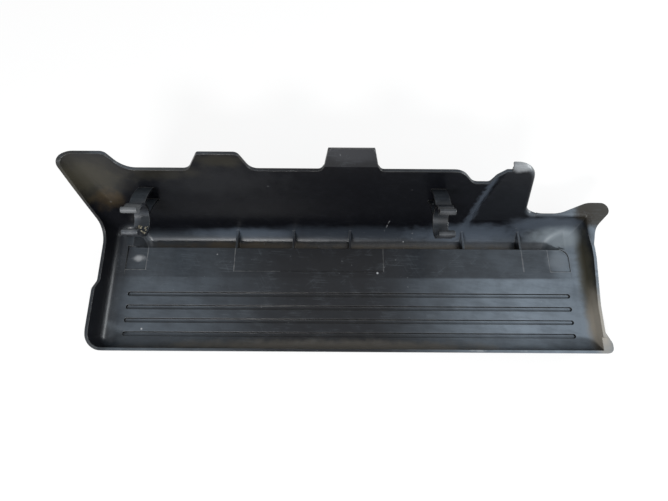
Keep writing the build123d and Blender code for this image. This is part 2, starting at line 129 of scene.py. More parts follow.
class Graph:
    """Thin helper that adds and links the nodes of one node tree."""

    def __init__(self, tree: bpy.types.NodeTree) -> None:
        """Hold the tree that the nodes go into."""
        self.tree = tree

    def add(self, kind: str, **settings: object) -> bpy.types.Node:
        """Add a node and set its plain properties.

        Args:
            kind: Blender's name of the node type.
            settings: Property values of the node.

        Returns:
            The new node.
        """
        node = self.tree.nodes.new(kind)
        for name, value in settings.items():
            setattr(node, name, value)
        return node

    def feed(self, socket: bpy.types.NodeSocket, value: Link) -> None:
        """Link a socket to another one, or set it to a constant.

        Args:
            socket: The input.
            value: An output socket or a constant.
        """
        if isinstance(value, bpy.types.NodeSocket):
            self.tree.links.new(value, socket)
        elif isinstance(value, (int, float)):
            socket.default_value = float(value)
        elif socket.type == "RGBA" and len(value) == 3:
            socket.default_value = (*value, 1.0)
        else:
            socket.default_value = tuple(value)

    def maths(self, operation: str, first: Link, second: Link = 0.0,
              clamp: bool = False) -> bpy.types.NodeSocket:
        """Add a maths node.

        Args:
            operation: Blender's name of the operation.
            first: First value.
            second: Second value.
            clamp: Whether the result stays between 0 and 1.

        Returns:
            The result.
        """
        node = self.add("ShaderNodeMath", operation=operation, use_clamp=clamp)
        self.feed(node.inputs[0], first)
        self.feed(node.inputs[1], second)
        return node.outputs[0]

    def vectors(self, operation: str, first: Link, second: Link = (0.0, 0.0, 0.0)) -> bpy.types.Node:
        """Add a vector maths node.

        Args:
            operation: Blender's name of the operation.
            first: First vector.
            second: Second vector.

        Returns:
            The node, for its vector or value output.
        """
        node = self.add("ShaderNodeVectorMath", operation=operation)
        self.feed(node.inputs[0], first)
        self.feed(node.inputs[1], second)
        return node

    def ramp(self, value: Link, ramp: Ramp, smooth: bool = True) -> bpy.types.NodeSocket:
        """Map a value from one range to another, held at the ends.

        Args:
            value: The value to map.
            ramp: The two ranges.
            smooth: Whether the ramp eases in and out.

        Returns:
            The mapped value.
        """
        node = self.add("ShaderNodeMapRange", clamp=True,
                        interpolation_type="SMOOTHSTEP" if smooth else "LINEAR")
        for name, given in zip(("Value", "From Min", "From Max", "To Min", "To Max"), (value, *ramp)):
            self.feed(node.inputs[name], given)
        return node.outputs["Result"]

    def noise(self, vector: Link, noise: Noise) -> bpy.types.NodeSocket:
        """Add a noise texture.

        Args:
            vector: Where it is read.
            noise: Its settings.

        Returns:
            The noise value, about 0 to 1.
        """
        node = self.add("ShaderNodeTexNoise")
        self.feed(node.inputs["Vector"], vector)
        node.inputs["Scale"].default_value = noise.scale
        node.inputs["Detail"].default_value = noise.detail
        node.inputs["Roughness"].default_value = noise.roughness
        return node.outputs["Fac"]

    def mix(self, factor: Link, under: Link, over: Link, blend: Blend = Blend.COVER) -> bpy.types.NodeSocket:
        """Lay one colour over another.

        Args:
            factor: How much of it is laid on.
            under: The colour below.
            over: The colour laid on.
            blend: The way of laying it on.

        Returns:
            The mixed colour.
        """
        node = self.add("ShaderNodeMix", data_type="RGBA", blend_type=blend.value)
        self.feed(node.inputs["Factor"], factor)
        self.feed(node.inputs[MIX_UNDER], under)
        self.feed(node.inputs[MIX_OVER], over)
        return node.outputs[MIX_RESULT]

    def drawing_position(self) -> bpy.types.NodeSocket:
        """Add the position in the cover's own drawing frame, in mm.

        Returns:
            The position.
        """
        where = self.add("ShaderNodeTexCoord").outputs["Object"]
        mapping = self.add("ShaderNodeMapping", vector_type="POINT")
        self.feed(mapping.inputs["Vector"], where)
        mapping.inputs["Location"].default_value = Matrix.Rotation(-REST_TURN, 3, "X") @ -REST_SHIFT
        mapping.inputs["Rotation"].default_value = (-REST_TURN, 0.0, 0.0)
        mapping.inputs["Scale"].default_value = (1 / MM, 1 / MM, 1 / MM)
        return mapping.outputs["Vector"]

    def use(self, group: bpy.types.NodeTree, **values: Link) -> bpy.types.Node:
        """Place a shared effect.

        Args:
            group: The effect's node group.
            values: Its inputs by name, with _ for a space.

        Returns:
            The placed node.
        """
        node = self.add("ShaderNodeGroup", node_tree=group)
        for name, value in values.items():
            self.feed(node.inputs[name.replace("_", " ")], value)
        return node


class Effects:
    """Shared effects of the plastic, the dirt and the grit, each built once as a node group."""

    PATCH_BORDER = Noise(0.09, 5.0, 0.62)
    SCRATCH_STRETCH = (0.05, 2.0, 0.8)
    SCRATCH_LINES = Noise(1.0, 2.0, 0.4)
    SCRATCH_BREAKS = Noise(0.06, 2.0)
    SCRATCH_FADE = Ramp(0.3, 0.6, 0.6, 1.0)
    SOFT_RIM = Ramp(0.0, 0.05)
    SPECK_SIZES = Ramp(0.0, 1.0, 0.05, 0.15)
    LINE_BORDER = Noise(0.25, 3.0, 0.6)
    LINE_WIDTHS = Ramp(0.3, 0.7, 0.5, 1.3)
    LINE_FADE = Ramp(0.2, 1.0, 1.0, 0.0)
    FINE_GRAIN = Noise(3.2)
    SLOW_WAVES = Noise(0.05, 2.0)

    def __init__(self) -> None:
        """Build every effect."""
        self.patch = self._patch()
        self.scratches = self._scratches()
        self.specks = self._specks()
        self.line = self._line()
        self.grain = self._grain()

    @staticmethod
    def _group(name: str, inputs: dict[str, tuple[str, object]], outputs: dict[str, str],
               ) -> tuple[bpy.types.NodeTree, Graph, bpy.types.Node, bpy.types.Node]:
        """Start a node group with named sockets.

        Args:
            name: The group's name.
            inputs: Socket type and default by input name.
            outputs: Socket type by output name.

        Returns:
            The group, a helper for it, its input node and its output node.
        """
        tree = bpy.data.node_groups.new(name, "ShaderNodeTree")
        for label, (kind, default) in inputs.items():
            socket = tree.interface.new_socket(label, in_out="INPUT", socket_type=kind)
            if default is not None:
                socket.default_value = default
        for label, kind in outputs.items():
            tree.interface.new_socket(label, in_out="OUTPUT", socket_type=kind)
        graph = Graph(tree)
        return tree, graph, graph.add("NodeGroupInput"), graph.add("NodeGroupOutput")

    def _patch(self) -> bpy.types.NodeTree:
        """Soft patch about a place, with a ragged border.

        Returns:
            The node group.
        """
        tree, graph, given, result = self._group(
            "soft_patch",
            {"Position": ("NodeSocketVector", None), "Centre": ("NodeSocketVector", (0.0, 0.0, 0.0)),
             "Size": ("NodeSocketVector", (10.0, 10.0, 10.0)), "Core": ("NodeSocketFloat", 0.3),
             "Ragged": ("NodeSocketFloat", 0.5)},
            {"Mask": "NodeSocketFloat"})
        away = graph.vectors("SUBTRACT", given.outputs["Position"], given.outputs["Centre"]).outputs["Vector"]
        shaped = graph.vectors("DIVIDE", away, given.outputs["Size"]).outputs["Vector"]
        reach = graph.vectors("LENGTH", shaped).outputs["Value"]
        rough = graph.noise(given.outputs["Position"], self.PATCH_BORDER)
        rough = graph.maths("MULTIPLY", graph.maths("SUBTRACT", rough, 0.5), given.outputs["Ragged"])
        reach = graph.maths("ADD", reach, graph.maths("MULTIPLY", rough, 2.0))
        mask = graph.ramp(reach, Ramp(given.outputs["Core"], 1.0, 1.0, 0.0))
        graph.feed(result.inputs["Mask"], mask)
        return tree

    def _scratches(self) -> bpy.types.NodeTree:
        """Thin broken scratches that run one way.

        Returns:
            The node group.
        """
        tree, graph, given, result = self._group(
            "fine_scratches",
            {"Position": ("NodeSocketVector", None), "Turn": ("NodeSocketFloat", 0.0),
             "Scarcity": ("NodeSocketFloat", 0.7)},
            {"Mask": "NodeSocketFloat"})
        spin = graph.add("ShaderNodeVectorRotate", rotation_type="Z_AXIS")
        graph.feed(spin.inputs["Vector"], given.outputs["Position"])
        graph.feed(spin.inputs["Angle"], given.outputs["Turn"])
        drawn = graph.vectors("MULTIPLY", spin.outputs["Vector"], self.SCRATCH_STRETCH).outputs["Vector"]
        lines = graph.noise(drawn, self.SCRATCH_LINES)
        breaks = graph.noise(given.outputs["Position"], self.SCRATCH_BREAKS)
        lines = graph.maths("MULTIPLY", lines, graph.ramp(breaks, self.SCRATCH_FADE))
        mask = graph.maths("SUBTRACT", lines, given.outputs["Scarcity"])
        graph.feed(result.inputs["Mask"], graph.ramp(mask, self.SOFT_RIM))
        return tree

    def _specks(self) -> bpy.types.NodeTree:
        """Scattered small specks.

        Returns:
            The node group.
        """
        tree, graph, given, result = self._group(
            "specks",
            {"Position": ("NodeSocketVector", None), "Fineness": ("NodeSocketFloat", 0.2),
             "Share": ("NodeSocketFloat", 0.1)},
            {"Mask": "NodeSocketFloat"})
        cells = graph.add("ShaderNodeTexVoronoi", feature="F1")
        graph.feed(cells.inputs["Vector"], given.outputs["Position"])
        graph.feed(cells.inputs["Scale"], given.outputs["Fineness"])
        parts = graph.add("ShaderNodeSeparateColor")
        graph.feed(parts.inputs["Color"], cells.outputs["Color"])
        chosen = graph.maths("LESS_THAN", parts.outputs["Red"], given.outputs["Share"])
        size = graph.ramp(parts.outputs["Green"], self.SPECK_SIZES, smooth=False)
        inside = graph.maths("SUBTRACT", size, cells.outputs["Distance"])
        dot = graph.ramp(inside, self.SOFT_RIM)
        graph.feed(result.inputs["Mask"], graph.maths("MULTIPLY", dot, chosen))
        return tree

    def _line(self) -> bpy.types.NodeTree:
        """Soft line from one place along a vector.

        Returns:
            The node group.
        """
        tree, graph, given, result = self._group(
            "worn_line",
            {"Position": ("NodeSocketVector", None), "Start": ("NodeSocketVector", (0.0, 0.0, 0.0)),
             "Along": ("NodeSocketVector", (10.0, 0.0, 0.0)), "Width": ("NodeSocketFloat", 1.0)},
            {"Mask": "NodeSocketFloat"})
        away = graph.vectors("SUBTRACT", given.outputs["Position"], given.outputs["Start"]).outputs["Vector"]
        along = given.outputs["Along"]
        gone = graph.vectors("DOT_PRODUCT", away, along).outputs["Value"]
        whole = graph.vectors("DOT_PRODUCT", along, along).outputs["Value"]
        share = graph.maths("DIVIDE", gone, whole, clamp=True)
        foot = graph.add("ShaderNodeVectorMath", operation="SCALE")
        graph.feed(foot.inputs[0], along)
        graph.feed(foot.inputs["Scale"], share)
        gap = graph.vectors("DISTANCE", away, foot.outputs["Vector"]).outputs["Value"]
        rough = graph.noise(given.outputs["Position"], self.LINE_BORDER)
        width = graph.maths("MULTIPLY", given.outputs["Width"], graph.ramp(rough, self.LINE_WIDTHS))
        mask = graph.ramp(graph.maths("DIVIDE", gap, width), self.LINE_FADE)
        graph.feed(result.inputs["Mask"], mask)
        return tree

    def _grain(self) -> bpy.types.NodeTree:
        """Height of a fine moulded grain over slow waves.

        Returns:
            The node group.
        """
        tree, graph, given, result = self._group(
            "moulded_grain",
            {"Position": ("NodeSocketVector", None), "Fine": ("NodeSocketFloat", 0.5),
             "Slow": ("NodeSocketFloat", 0.5)},
            {"Height": "NodeSocketFloat"})
        position = given.outputs["Position"]
        fine = graph.maths("MULTIPLY", graph.noise(position, self.FINE_GRAIN), given.outputs["Fine"])
        slow = graph.maths("MULTIPLY", graph.noise(position, self.SLOW_WAVES), given.outputs["Slow"])
        graph.feed(result.inputs["Height"], graph.maths("ADD", fine, slow))
        return tree


@dataclass(frozen=True)
class SoftPatch:
    """One soft patch on the plastic; most are stains, a few are painted shade and painted highlights.

    Attributes:
        centre: Its middle in the drawing frame, mm.
        size: Its half sizes, mm.
        colour: Its linear colour.
        weight: How much it covers.
        ragged: How broken its border is.
        core: Share of its size that is solid.
    """

    centre: tuple[float, float, float]
    size: tuple[float, float, float]
    colour: Colour
    weight: float
    ragged: float = 0.5
    core: float = 0.25


@dataclass(frozen=True)
class Streak:
    """One thin worn or lit line on the plastic.

    Attributes:
        start: Its start in the drawing frame, mm.
        end: Its end, mm.
        width: Its half width, mm.
        colour: Its linear colour.
        weight: How much it covers.
    """

    start: tuple[float, float, float]
    end: tuple[float, float, float]
    width: float
    colour: Colour
    weight: float


OLIVE: Colour = (0.039, 0.035, 0.022)
RUST: Colour = (0.046, 0.031, 0.013)
EARTH: Colour = (0.062, 0.046, 0.026)
# Pale colour of specks, nicks and scuffs, also used for painted highlights on lit borders and glints.
PALE_MARK_AND_HIGHLIGHT: Colour = (0.30, 0.31, 0.32)
HAZE: Colour = (0.125, 0.145, 0.165)
SLATE: Colour = (0.045, 0.056, 0.072)
# Pale colour of the edges: rubbed wear and painted edge highlight.
EDGE_WEAR_AND_HIGHLIGHT: Colour = (0.115, 0.112, 0.102)
SOOT: Colour = (0.013, 0.0135, 0.015)
TAR: Colour = (0.012, 0.013, 0.016)
DUSK: Colour = (0.045, 0.055, 0.070)
SHELF_DUST: Colour = (0.165, 0.192, 0.212)
# Pale brown for the front of the right end wall: dust tint, and painted light on that lit face.
DUST_AND_LIGHT_BROWN: Colour = (0.27, 0.245, 0.205)
# Dark colours of the painted shade on the flared tip.
TIP_SHADE_DEEP: Colour = (0.018, 0.016, 0.012)
TIP_SHADE: Colour = (0.016, 0.014, 0.011)
# Pale colour of the painted highlight on the crown of the rolled rim.
CROWN_HIGHLIGHT: Colour = (0.20, 0.21, 0.22)
SAND: Colour = (0.092, 0.085, 0.074)
CLIP_FOOT_LEFT: Colour = (0.034, 0.037, 0.043)
CLIP_RING_LEFT: Colour = (0.11, 0.115, 0.12)
CLIP_RING_RIGHT: Colour = (0.075, 0.079, 0.084)
CLIP_FOOT_RIGHT: Colour = (0.040, 0.043, 0.049)


@dataclass(frozen=True)
class ScratchSet:
    """Fine scratches that run one way.

    Attributes:
        turn: Their direction about Z, radians.
        scarcity: How few there are.
        weight: How much they show.
    """

    turn: float
    scarcity: float
    weight: float


@dataclass(frozen=True)
class SpeckSet:
    """Scattered specks of one fineness.

    Attributes:
        fineness: How close they lie.
        share: Share of the places that hold one.
        weight: How much they show.
    """

    fineness: float
    share: float
    weight: float


@dataclass(frozen=True)
class DustyPlastic:
    """Satin black moulding with dust, dirt, scuffs and fine scratches, and some painted shade and highlights.

    Attributes:
        base: Linear colour of the bare plastic.
        film: Linear colour of the dust.
        roughness: Roughness of the bare plastic.
        dust_roughness: What full dust adds to it.
        patch_roughness: What a full patch adds to it, painted shade and highlights included.
        mark_roughness: What scratches and specks add to it.
        specular: Level of the shine.
        edge_radius: Radius of the softened edges, mm.
        edge_samples: Rays that find the edges.
        edge_wear_and_highlight: How pale the edges are, from rubbed wear and painted edge highlight.
        edge_bend: Ramp from the bend of the surface to the pale edge.
        edge_noise: Noise that breaks the pale edges.
        edge_breaks: Ramp of that noise.
        grain_fine: Height of the fine grain.
        grain_slow: Height of the slow waves.
        bump_strength: How much the grain shows.
        bump_depth: Depth of the grain, m.
        settle_way: Way that dust settles from.
        settle_ramp: Ramp from the slope of the surface to the dust on it.
        cloud_noise: Noise of the cloudy dust.
        wipe_turn: Slant of the wiped dust, radians.
        wipe_stretch: Stretch of the wiped dust.
        wipe_noise: Noise of the wiped dust.
        wipe_share: Share of the wiped dust in the clouds.
        cloud_ramp: Ramp from that noise to the dust.
        wear_noise: Noise of the bare plastic's tone.
        wear_ramp: Ramp of that noise.
        film_and_light_right: Ramp of the dust along x, on the right; its rise to the right is partly painted
            light from the right.
        film_left: Ramp of the dust along x, on the left.
        film_corner: Ramp that clears the left root of dust.
        film_shelf: Ramp that dusts the right end again.
        panel_edge: Range of y where the sunken panel starts.
        panel_cut: Ramp along x of the dust that the panel lacks.
        mark_spread: Ramp from the slope of the surface to its marks.
        scratch_sets: Directions of the fine scratches.
        speck_sets: Sizes of the specks.
        stains: The soft patches: mostly stains, with some painted shade and painted highlights.
        streaks: The thin lines.
    """

    base: Colour = (0.0026, 0.0028, 0.0040)
    film: Colour = (0.116, 0.142, 0.170)
    roughness: float = 0.31
    dust_roughness: float = 0.16
    patch_roughness: float = 0.06
    mark_roughness: float = 0.1
    specular: float = 0.24
    edge_radius: float = 0.7
    edge_samples: int = 6
    edge_wear_and_highlight: float = 0.55
    edge_bend: Ramp = Ramp(0.80, 0.99, 1.0, 0.0)
    edge_noise: Noise = Noise(0.12, 4.0, 0.6)
    edge_breaks: Ramp = Ramp(0.35, 0.65, 0.25, 1.0)
    grain_fine: float = 0.35
    grain_slow: float = 1.0
    bump_strength: float = 0.12
    bump_depth: float = 0.0004
    settle_way: tuple[float, float, float] = (0.0, -0.1, 1.0)
    settle_ramp: Ramp = Ramp(0.15, 0.95)
    cloud_noise: Noise = Noise(0.035, 6.0, 0.65)
    wipe_turn: float = 0.15
    wipe_stretch: tuple[float, float, float] = (0.05, 0.24, 0.15)
    wipe_noise: Noise = Noise(1.0, 5.0, 0.65)
    wipe_share: float = 0.35
    cloud_ramp: Ramp = Ramp(0.36, 0.64, 0.7, 1.15)
    wear_noise: Noise = Noise(0.3)
    wear_ramp: Ramp = Ramp(0.4, 0.7, 0.85, 1.15)
    film_and_light_right: Ramp = Ramp(10.0, 185.0, 0.03, 1.0)
    film_left: Ramp = Ramp(-170.0, -40.0, 0.32, 0.0)
    film_corner: Ramp = Ramp(-203.0, -186.0, 0.2, 1.0)
    film_shelf: Ramp = Ramp(172.0, 195.0, 0.0, 0.5)
    panel_edge: Ramp = Ramp(60.0, 62.5)
    panel_cut: Ramp = Ramp(-100.0, 100.0, 0.30, 0.66)
    mark_spread: Ramp = Ramp(0.0, 1.0, 0.12, 1.0)
    scratch_sets: tuple[ScratchSet, ...] = (
        ScratchSet(0.05, 0.58, 0.12),
        ScratchSet(1.1, 0.62, 0.10),
        ScratchSet(-0.7, 0.63, 0.10),
    )
    speck_sets: tuple[SpeckSet, ...] = (
        SpeckSet(0.12, 0.10, 0.75),
        SpeckSet(0.35, 0.05, 0.55),
    )
    stains: tuple[SoftPatch, ...] = (
        # Back wall, wing and tabs
        SoftPatch((-110, 125, 60), (80, 16, 32), SOOT, 0.6, 0.5, 0.1),
        SoftPatch((-205, 118, 70), (38, 30, 34), OLIVE, 0.52, 0.35),
        SoftPatch((-198, 112, 42), (16, 16, 16), RUST, 0.5, 0.6),
        SoftPatch((-150, 125, 72), (45, 22, 14), OLIVE, 0.22, 0.8),
        SoftPatch((-99, 130, 83), (26, 8, 10), OLIVE, 0.3, 0.5),
        SoftPatch((0, 133, 88), (26, 12, 11), TAR, 0.85, 0.3, 0.5),
        # Trench
        SoftPatch((0, 104, -6), (190, 13, 14), SLATE, 0.3, 0.4, 0.2),
        SoftPatch((-95, 105, -7), (62, 9, 9), SLATE, 0.8, 0.3, 0.2),
        SoftPatch((110, 104, -4), (70, 15, 18), SLATE, 0.9, 0.4, 0.3),
        # Low wall and right end
        SoftPatch((178, 111, 6), (50, 13, 16), DUSK, 0.95, 0.3, 0.4),
        SoftPatch((186, 99, -2), (36, 14, 16), SHELF_DUST, 0.9, 0.2, 0.3),
        SoftPatch((204, 60, 8), (8, 60, 14), OLIVE, 0.8, 0.4),
        # Front of the right end wall: dust tint and painted light
        SoftPatch((207, 20, 10), (12, 42, 14), DUST_AND_LIGHT_BROWN, 0.8, 0.15, 0.2),
        # Flared tip: painted shade, darkest towards its crease
        SoftPatch((216, 116, 20), (24, 18, 9), TIP_SHADE_DEEP, 0.95, 0.25, 0.6),
        SoftPatch((206, 114, 19), (12, 14, 9), TIP_SHADE, 0.85, 0.3, 0.3),
        # Crown of the rim: painted highlight
        SoftPatch((138, 134, 72), (17, 9, 9), CROWN_HIGHLIGHT, 0.85, 0.5, 0.4),
        # Front edge and foot of the trench
        SoftPatch((-20, 2, 4), (200, 9, 9), SAND, 0.85, 0.4, 0.3),
        SoftPatch((-95, 93, -13), (110, 7, 6), EARTH, 0.75, 0.6),
        SoftPatch((60, 92, -13), (140, 6, 5), EARTH, 0.7, 0.6),
        # Pads and left front corner
        SoftPatch((-186, 79, -1), (9, 4, 4), PALE_MARK_AND_HIGHLIGHT, 0.6, 1.0, 0.1),
        SoftPatch((-196, 14, 3), (14, 12, 8), HAZE, 0.3, 1.2, 0.0),
        SoftPatch((186, 78, 0), (14, 14, 5), HAZE, 0.6, 0.3, 0.4),
        # Clips
        SoftPatch((-164, 88, 66), (14, 20, 20), CLIP_FOOT_LEFT, 0.6, 0.5, 0.5),
        SoftPatch((-165, 88, 74), (13, 16, 10), CLIP_RING_LEFT, 0.75, 0.4, 0.4),
        SoftPatch((71, 87, 73), (13, 15, 9), CLIP_RING_RIGHT, 0.6, 0.4, 0.3),
        SoftPatch((71, 84, 62), (14, 14, 20), CLIP_FOOT_RIGHT, 0.6, 0.5, 0.3),
    )
    streaks: tuple[Streak, ...] = (
        # Lit borders of the pads and the insert
        Streak((177.3, 68, -0.4), (177.3, 88.6, -1.4), 0.7, PALE_MARK_AND_HIGHLIGHT, 0.45),
        Streak((177.3, 68, -0.4), (194.8, 68, -0.4), 0.7, PALE_MARK_AND_HIGHLIGHT, 0.45),
        Streak((-178.3, 68, -0.4), (-178.3, 88.6, -1.4), 0.8, PALE_MARK_AND_HIGHLIGHT, 0.3),
        Streak((-195.8, 68, -0.4), (-178.3, 68, -0.4), 0.8, PALE_MARK_AND_HIGHLIGHT, 0.3),
        Streak((-100.6, 67, -0.4), (-100.6, 88.6, -1.5), 0.6, PALE_MARK_AND_HIGHLIGHT, 0.28),
        Streak((-100.6, 67, -0.4), (-60, 67, -0.4), 0.6, PALE_MARK_AND_HIGHLIGHT, 0.22),
        Streak((30.7, 67, -0.4), (30.7, 88.6, -1.5), 0.6, PALE_MARK_AND_HIGHLIGHT, 0.16),
        Streak((153.9, 68, -0.4), (153.9, 88.6, -1.5), 0.8, PALE_MARK_AND_HIGHLIGHT, 0.2),
        # Soft step of the pocket: painted highlight along the rounded step
        Streak((103, 107.5, 1), (113.4, 124.4, 64), 5.0, SLATE, 0.6),
        # Glints in the trench
        Streak((36, 110, 11), (33, 105.5, -3), 0.9, PALE_MARK_AND_HIGHLIGHT, 0.45),
        Streak((33, 105.5, -3), (30.5, 100.5, -10), 0.9, PALE_MARK_AND_HIGHLIGHT, 0.35),
        # Nicks on the front edge
        Streak((97, -2.2, 12.4), (110, -2.2, 12.4), 1.1, PALE_MARK_AND_HIGHLIGHT, 0.45),
        Streak((138, -2.2, 12.4), (143, -2.2, 12.4), 1.0, PALE_MARK_AND_HIGHLIGHT, 0.4),
    )

    def build(self, effects: Effects) -> bpy.types.Material:
        """Make the material.

        Args:
            effects: The shared effects.

        Returns:
            The finished material.
        """
        material = bpy.data.materials.new("dusty_black_plastic")
        material.use_nodes = True
        tree = material.node_tree
        tree.nodes.clear()
        graph = Graph(tree)
        shader = graph.add("ShaderNodeBsdfPrincipled")
        output = graph.add("ShaderNodeOutputMaterial")
        graph.feed(output.inputs["Surface"], shader.outputs["BSDF"])
        position = graph.drawing_position()
        facing_up = self._facing_up(graph)
        colour, dust = self._film(graph, position, facing_up)
        colour, dirt = self._lay_patches(graph, effects, position, colour)
        colour, marks = self._marks(graph, effects, position, colour, facing_up)
        soft_edge = graph.add("ShaderNodeBevel", samples=self.edge_samples)
        soft_edge.inputs["Radius"].default_value = self.edge_radius * MM
        colour = self._worn_and_lit_edges(graph, position, soft_edge.outputs["Normal"], colour)
        graph.feed(shader.inputs["Base Color"], colour)
        rough = graph.maths("ADD", self.roughness, graph.maths("MULTIPLY", dust, self.dust_roughness))
        rough = graph.maths("ADD", rough, graph.maths("MULTIPLY", dirt, self.patch_roughness))
        marked = graph.maths("MULTIPLY", marks, self.mark_roughness)
        rough = graph.maths("ADD", rough, marked, clamp=True)
        graph.feed(shader.inputs["Roughness"], rough)
        shader.inputs["Specular IOR Level"].default_value = self.specular
        height = graph.use(effects.grain, Position=position, Fine=self.grain_fine,
                           Slow=self.grain_slow).outputs["Height"]
        bump = graph.add("ShaderNodeBump")
        bump.inputs["Strength"].default_value = self.bump_strength
        bump.inputs["Distance"].default_value = self.bump_depth
        graph.feed(bump.inputs["Height"], height)
        graph.feed(bump.inputs["Normal"], soft_edge.outputs["Normal"])
        graph.feed(shader.inputs["Normal"], bump.outputs["Normal"])
        return material

    def _worn_and_lit_edges(self, graph: Graph, position: Link, soft_normal: Link,
                    colour: Link) -> bpy.types.NodeSocket:
        """Make the sharp edges paler: rubbed wear and a painted highlight along the edges.

        Args:
            graph: The material's nodes.
            position: Position in the drawing frame.
            soft_normal: Normal that is rounded at the edges.
            colour: The colour so far.

        Returns:
            The colour with its rubbed edges.
        """
        normal = graph.add("ShaderNodeNewGeometry").outputs["Normal"]
        bend = graph.vectors("DOT_PRODUCT", normal, soft_normal).outputs["Value"]
        edge = graph.ramp(bend, self.edge_bend)
        broken = graph.ramp(graph.noise(position, self.edge_noise), self.edge_breaks)
        broken = graph.maths("MULTIPLY", broken, self.edge_wear_and_highlight)
        return graph.mix(graph.maths("MULTIPLY", edge, broken), colour, EDGE_WEAR_AND_HIGHLIGHT)

    def _facing_up(self, graph: Graph) -> bpy.types.NodeSocket:
        """Mark the surfaces that dust settles on.

        Args:
            graph: The material's nodes.

        Returns:
            The mask of the surfaces that face up.
        """
        normal = graph.add("ShaderNodeNewGeometry").outputs["Normal"]
        upward = graph.vectors("DOT_PRODUCT", normal, self.settle_way).outputs["Value"]
        return graph.ramp(upward, self.settle_ramp)

    def _film(self, graph: Graph, position: Link, facing_up: Link) -> Pair:
        """Lay a cloudy film of dust over the bare plastic, paler towards the right partly as painted light.

        Args:
            graph: The material's nodes.
            position: Position in the drawing frame.
            facing_up: Mask of the surfaces that face up.

        Returns:
            The colour and the dust's mask, whose rise to the right is partly painted light.
        """
        clouds = graph.noise(position, self.cloud_noise)
        slanted = graph.add("ShaderNodeVectorRotate", rotation_type="Z_AXIS")
        graph.feed(slanted.inputs["Vector"], position)
        slanted.inputs["Angle"].default_value = self.wipe_turn
        wiped = graph.vectors("MULTIPLY", slanted.outputs["Vector"], self.wipe_stretch).outputs["Vector"]
        wiped = graph.noise(wiped, self.wipe_noise)
        clouds = graph.maths("ADD", graph.maths("MULTIPLY", clouds, 1.0 - self.wipe_share),
                             graph.maths("MULTIPLY", wiped, self.wipe_share))
        clouds = graph.ramp(clouds, self.cloud_ramp)
        parts = graph.add("ShaderNodeSeparateXYZ")
        graph.feed(parts.inputs["Vector"], position)
        # Dust grows towards the right; this rise is partly painted light from the right.
        along = graph.ramp(parts.outputs["X"], self.film_and_light_right)
        left = graph.ramp(parts.outputs["X"], self.film_left)
        corner = graph.ramp(parts.outputs["X"], self.film_corner)
        along = graph.maths("ADD", along, graph.maths("MULTIPLY", left, corner))
        sunk = graph.ramp(parts.outputs["Y"], self.panel_edge)
        cut = graph.ramp(parts.outputs["X"], self.panel_cut)
        panel = graph.maths("SUBTRACT", 1.0, graph.maths("MULTIPLY", sunk, cut))
        shelf = graph.ramp(parts.outputs["X"], self.film_shelf)
        along = graph.maths("MULTIPLY", along, graph.maths("ADD", panel, shelf, clamp=True))
        dust = graph.maths("MULTIPLY", graph.maths("MULTIPLY", clouds, facing_up), along, clamp=True)
        wear = graph.ramp(graph.noise(position, self.wear_noise), self.wear_ramp)
        bare = graph.mix(1.0, self.base, wear, Blend.DARKEN)
        return graph.mix(dust, bare, self.film), dust

    def _lay_patches(self, graph: Graph, effects: Effects, position: Link, colour: Link) -> Pair:
        """Lay the patches, stains and the painted shade and highlights among them, and the thin lines over
        the film.

        Args:
            graph: The material's nodes.
            effects: The shared effects.
            position: Position in the drawing frame.
            colour: The colour so far.

        Returns:
            The colour and the mask of all the patches, painted ones included.
        """
        dirt: Link = 0.0
        for stain in self.stains:
            mask = graph.use(effects.patch, Position=position, Centre=stain.centre, Size=stain.size,
                             Core=stain.core, Ragged=stain.ragged).outputs["Mask"]
            mask = graph.maths("MULTIPLY", mask, stain.weight)
            colour = graph.mix(mask, colour, stain.colour)
            # This mask also takes in the painted shade and highlight patches.
            dirt = graph.maths("MAXIMUM", dirt, mask)
        for streak in self.streaks:
            reach = Vector(streak.end) - Vector(streak.start)
            mask = graph.use(effects.line, Position=position, Start=streak.start, Along=reach,
                             Width=streak.width).outputs["Mask"]
            colour = graph.mix(graph.maths("MULTIPLY", mask, streak.weight), colour, streak.colour)
        return colour, dirt

    def _marks(self, graph: Graph, effects: Effects, position: Link, colour: Link,
               facing_up: Link) -> Pair:
        """Add scratches and specks.

        Args:
            graph: The material's nodes.
            effects: The shared effects.
            position: Position in the drawing frame.
            colour: The colour so far.
            facing_up: Mask of the surfaces that face up, which are scratched most.

        Returns:
            The colour and the mask of the marks.
        """
        marks: Link = 0.0
        spread = graph.ramp(facing_up, self.mark_spread)
        for kind in self.scratch_sets:
            mask = graph.use(effects.scratches, Position=position, Turn=kind.turn,
                             Scarcity=kind.scarcity).outputs["Mask"]
            mask = graph.maths("MULTIPLY", graph.maths("MULTIPLY", mask, kind.weight), spread)
            colour = graph.mix(mask, colour, HAZE)
            marks = graph.maths("MAXIMUM", marks, mask)
        for kind in self.speck_sets:
            mask = graph.use(effects.specks, Position=position, Fineness=kind.fineness,
                             Share=kind.share).outputs["Mask"]
            mask = graph.maths("MULTIPLY", graph.maths("MULTIPLY", mask, kind.weight), spread)
            colour = graph.mix(mask, colour, PALE_MARK_AND_HIGHLIGHT)
            marks = graph.maths("MAXIMUM", marks, mask)
        return colour, marks


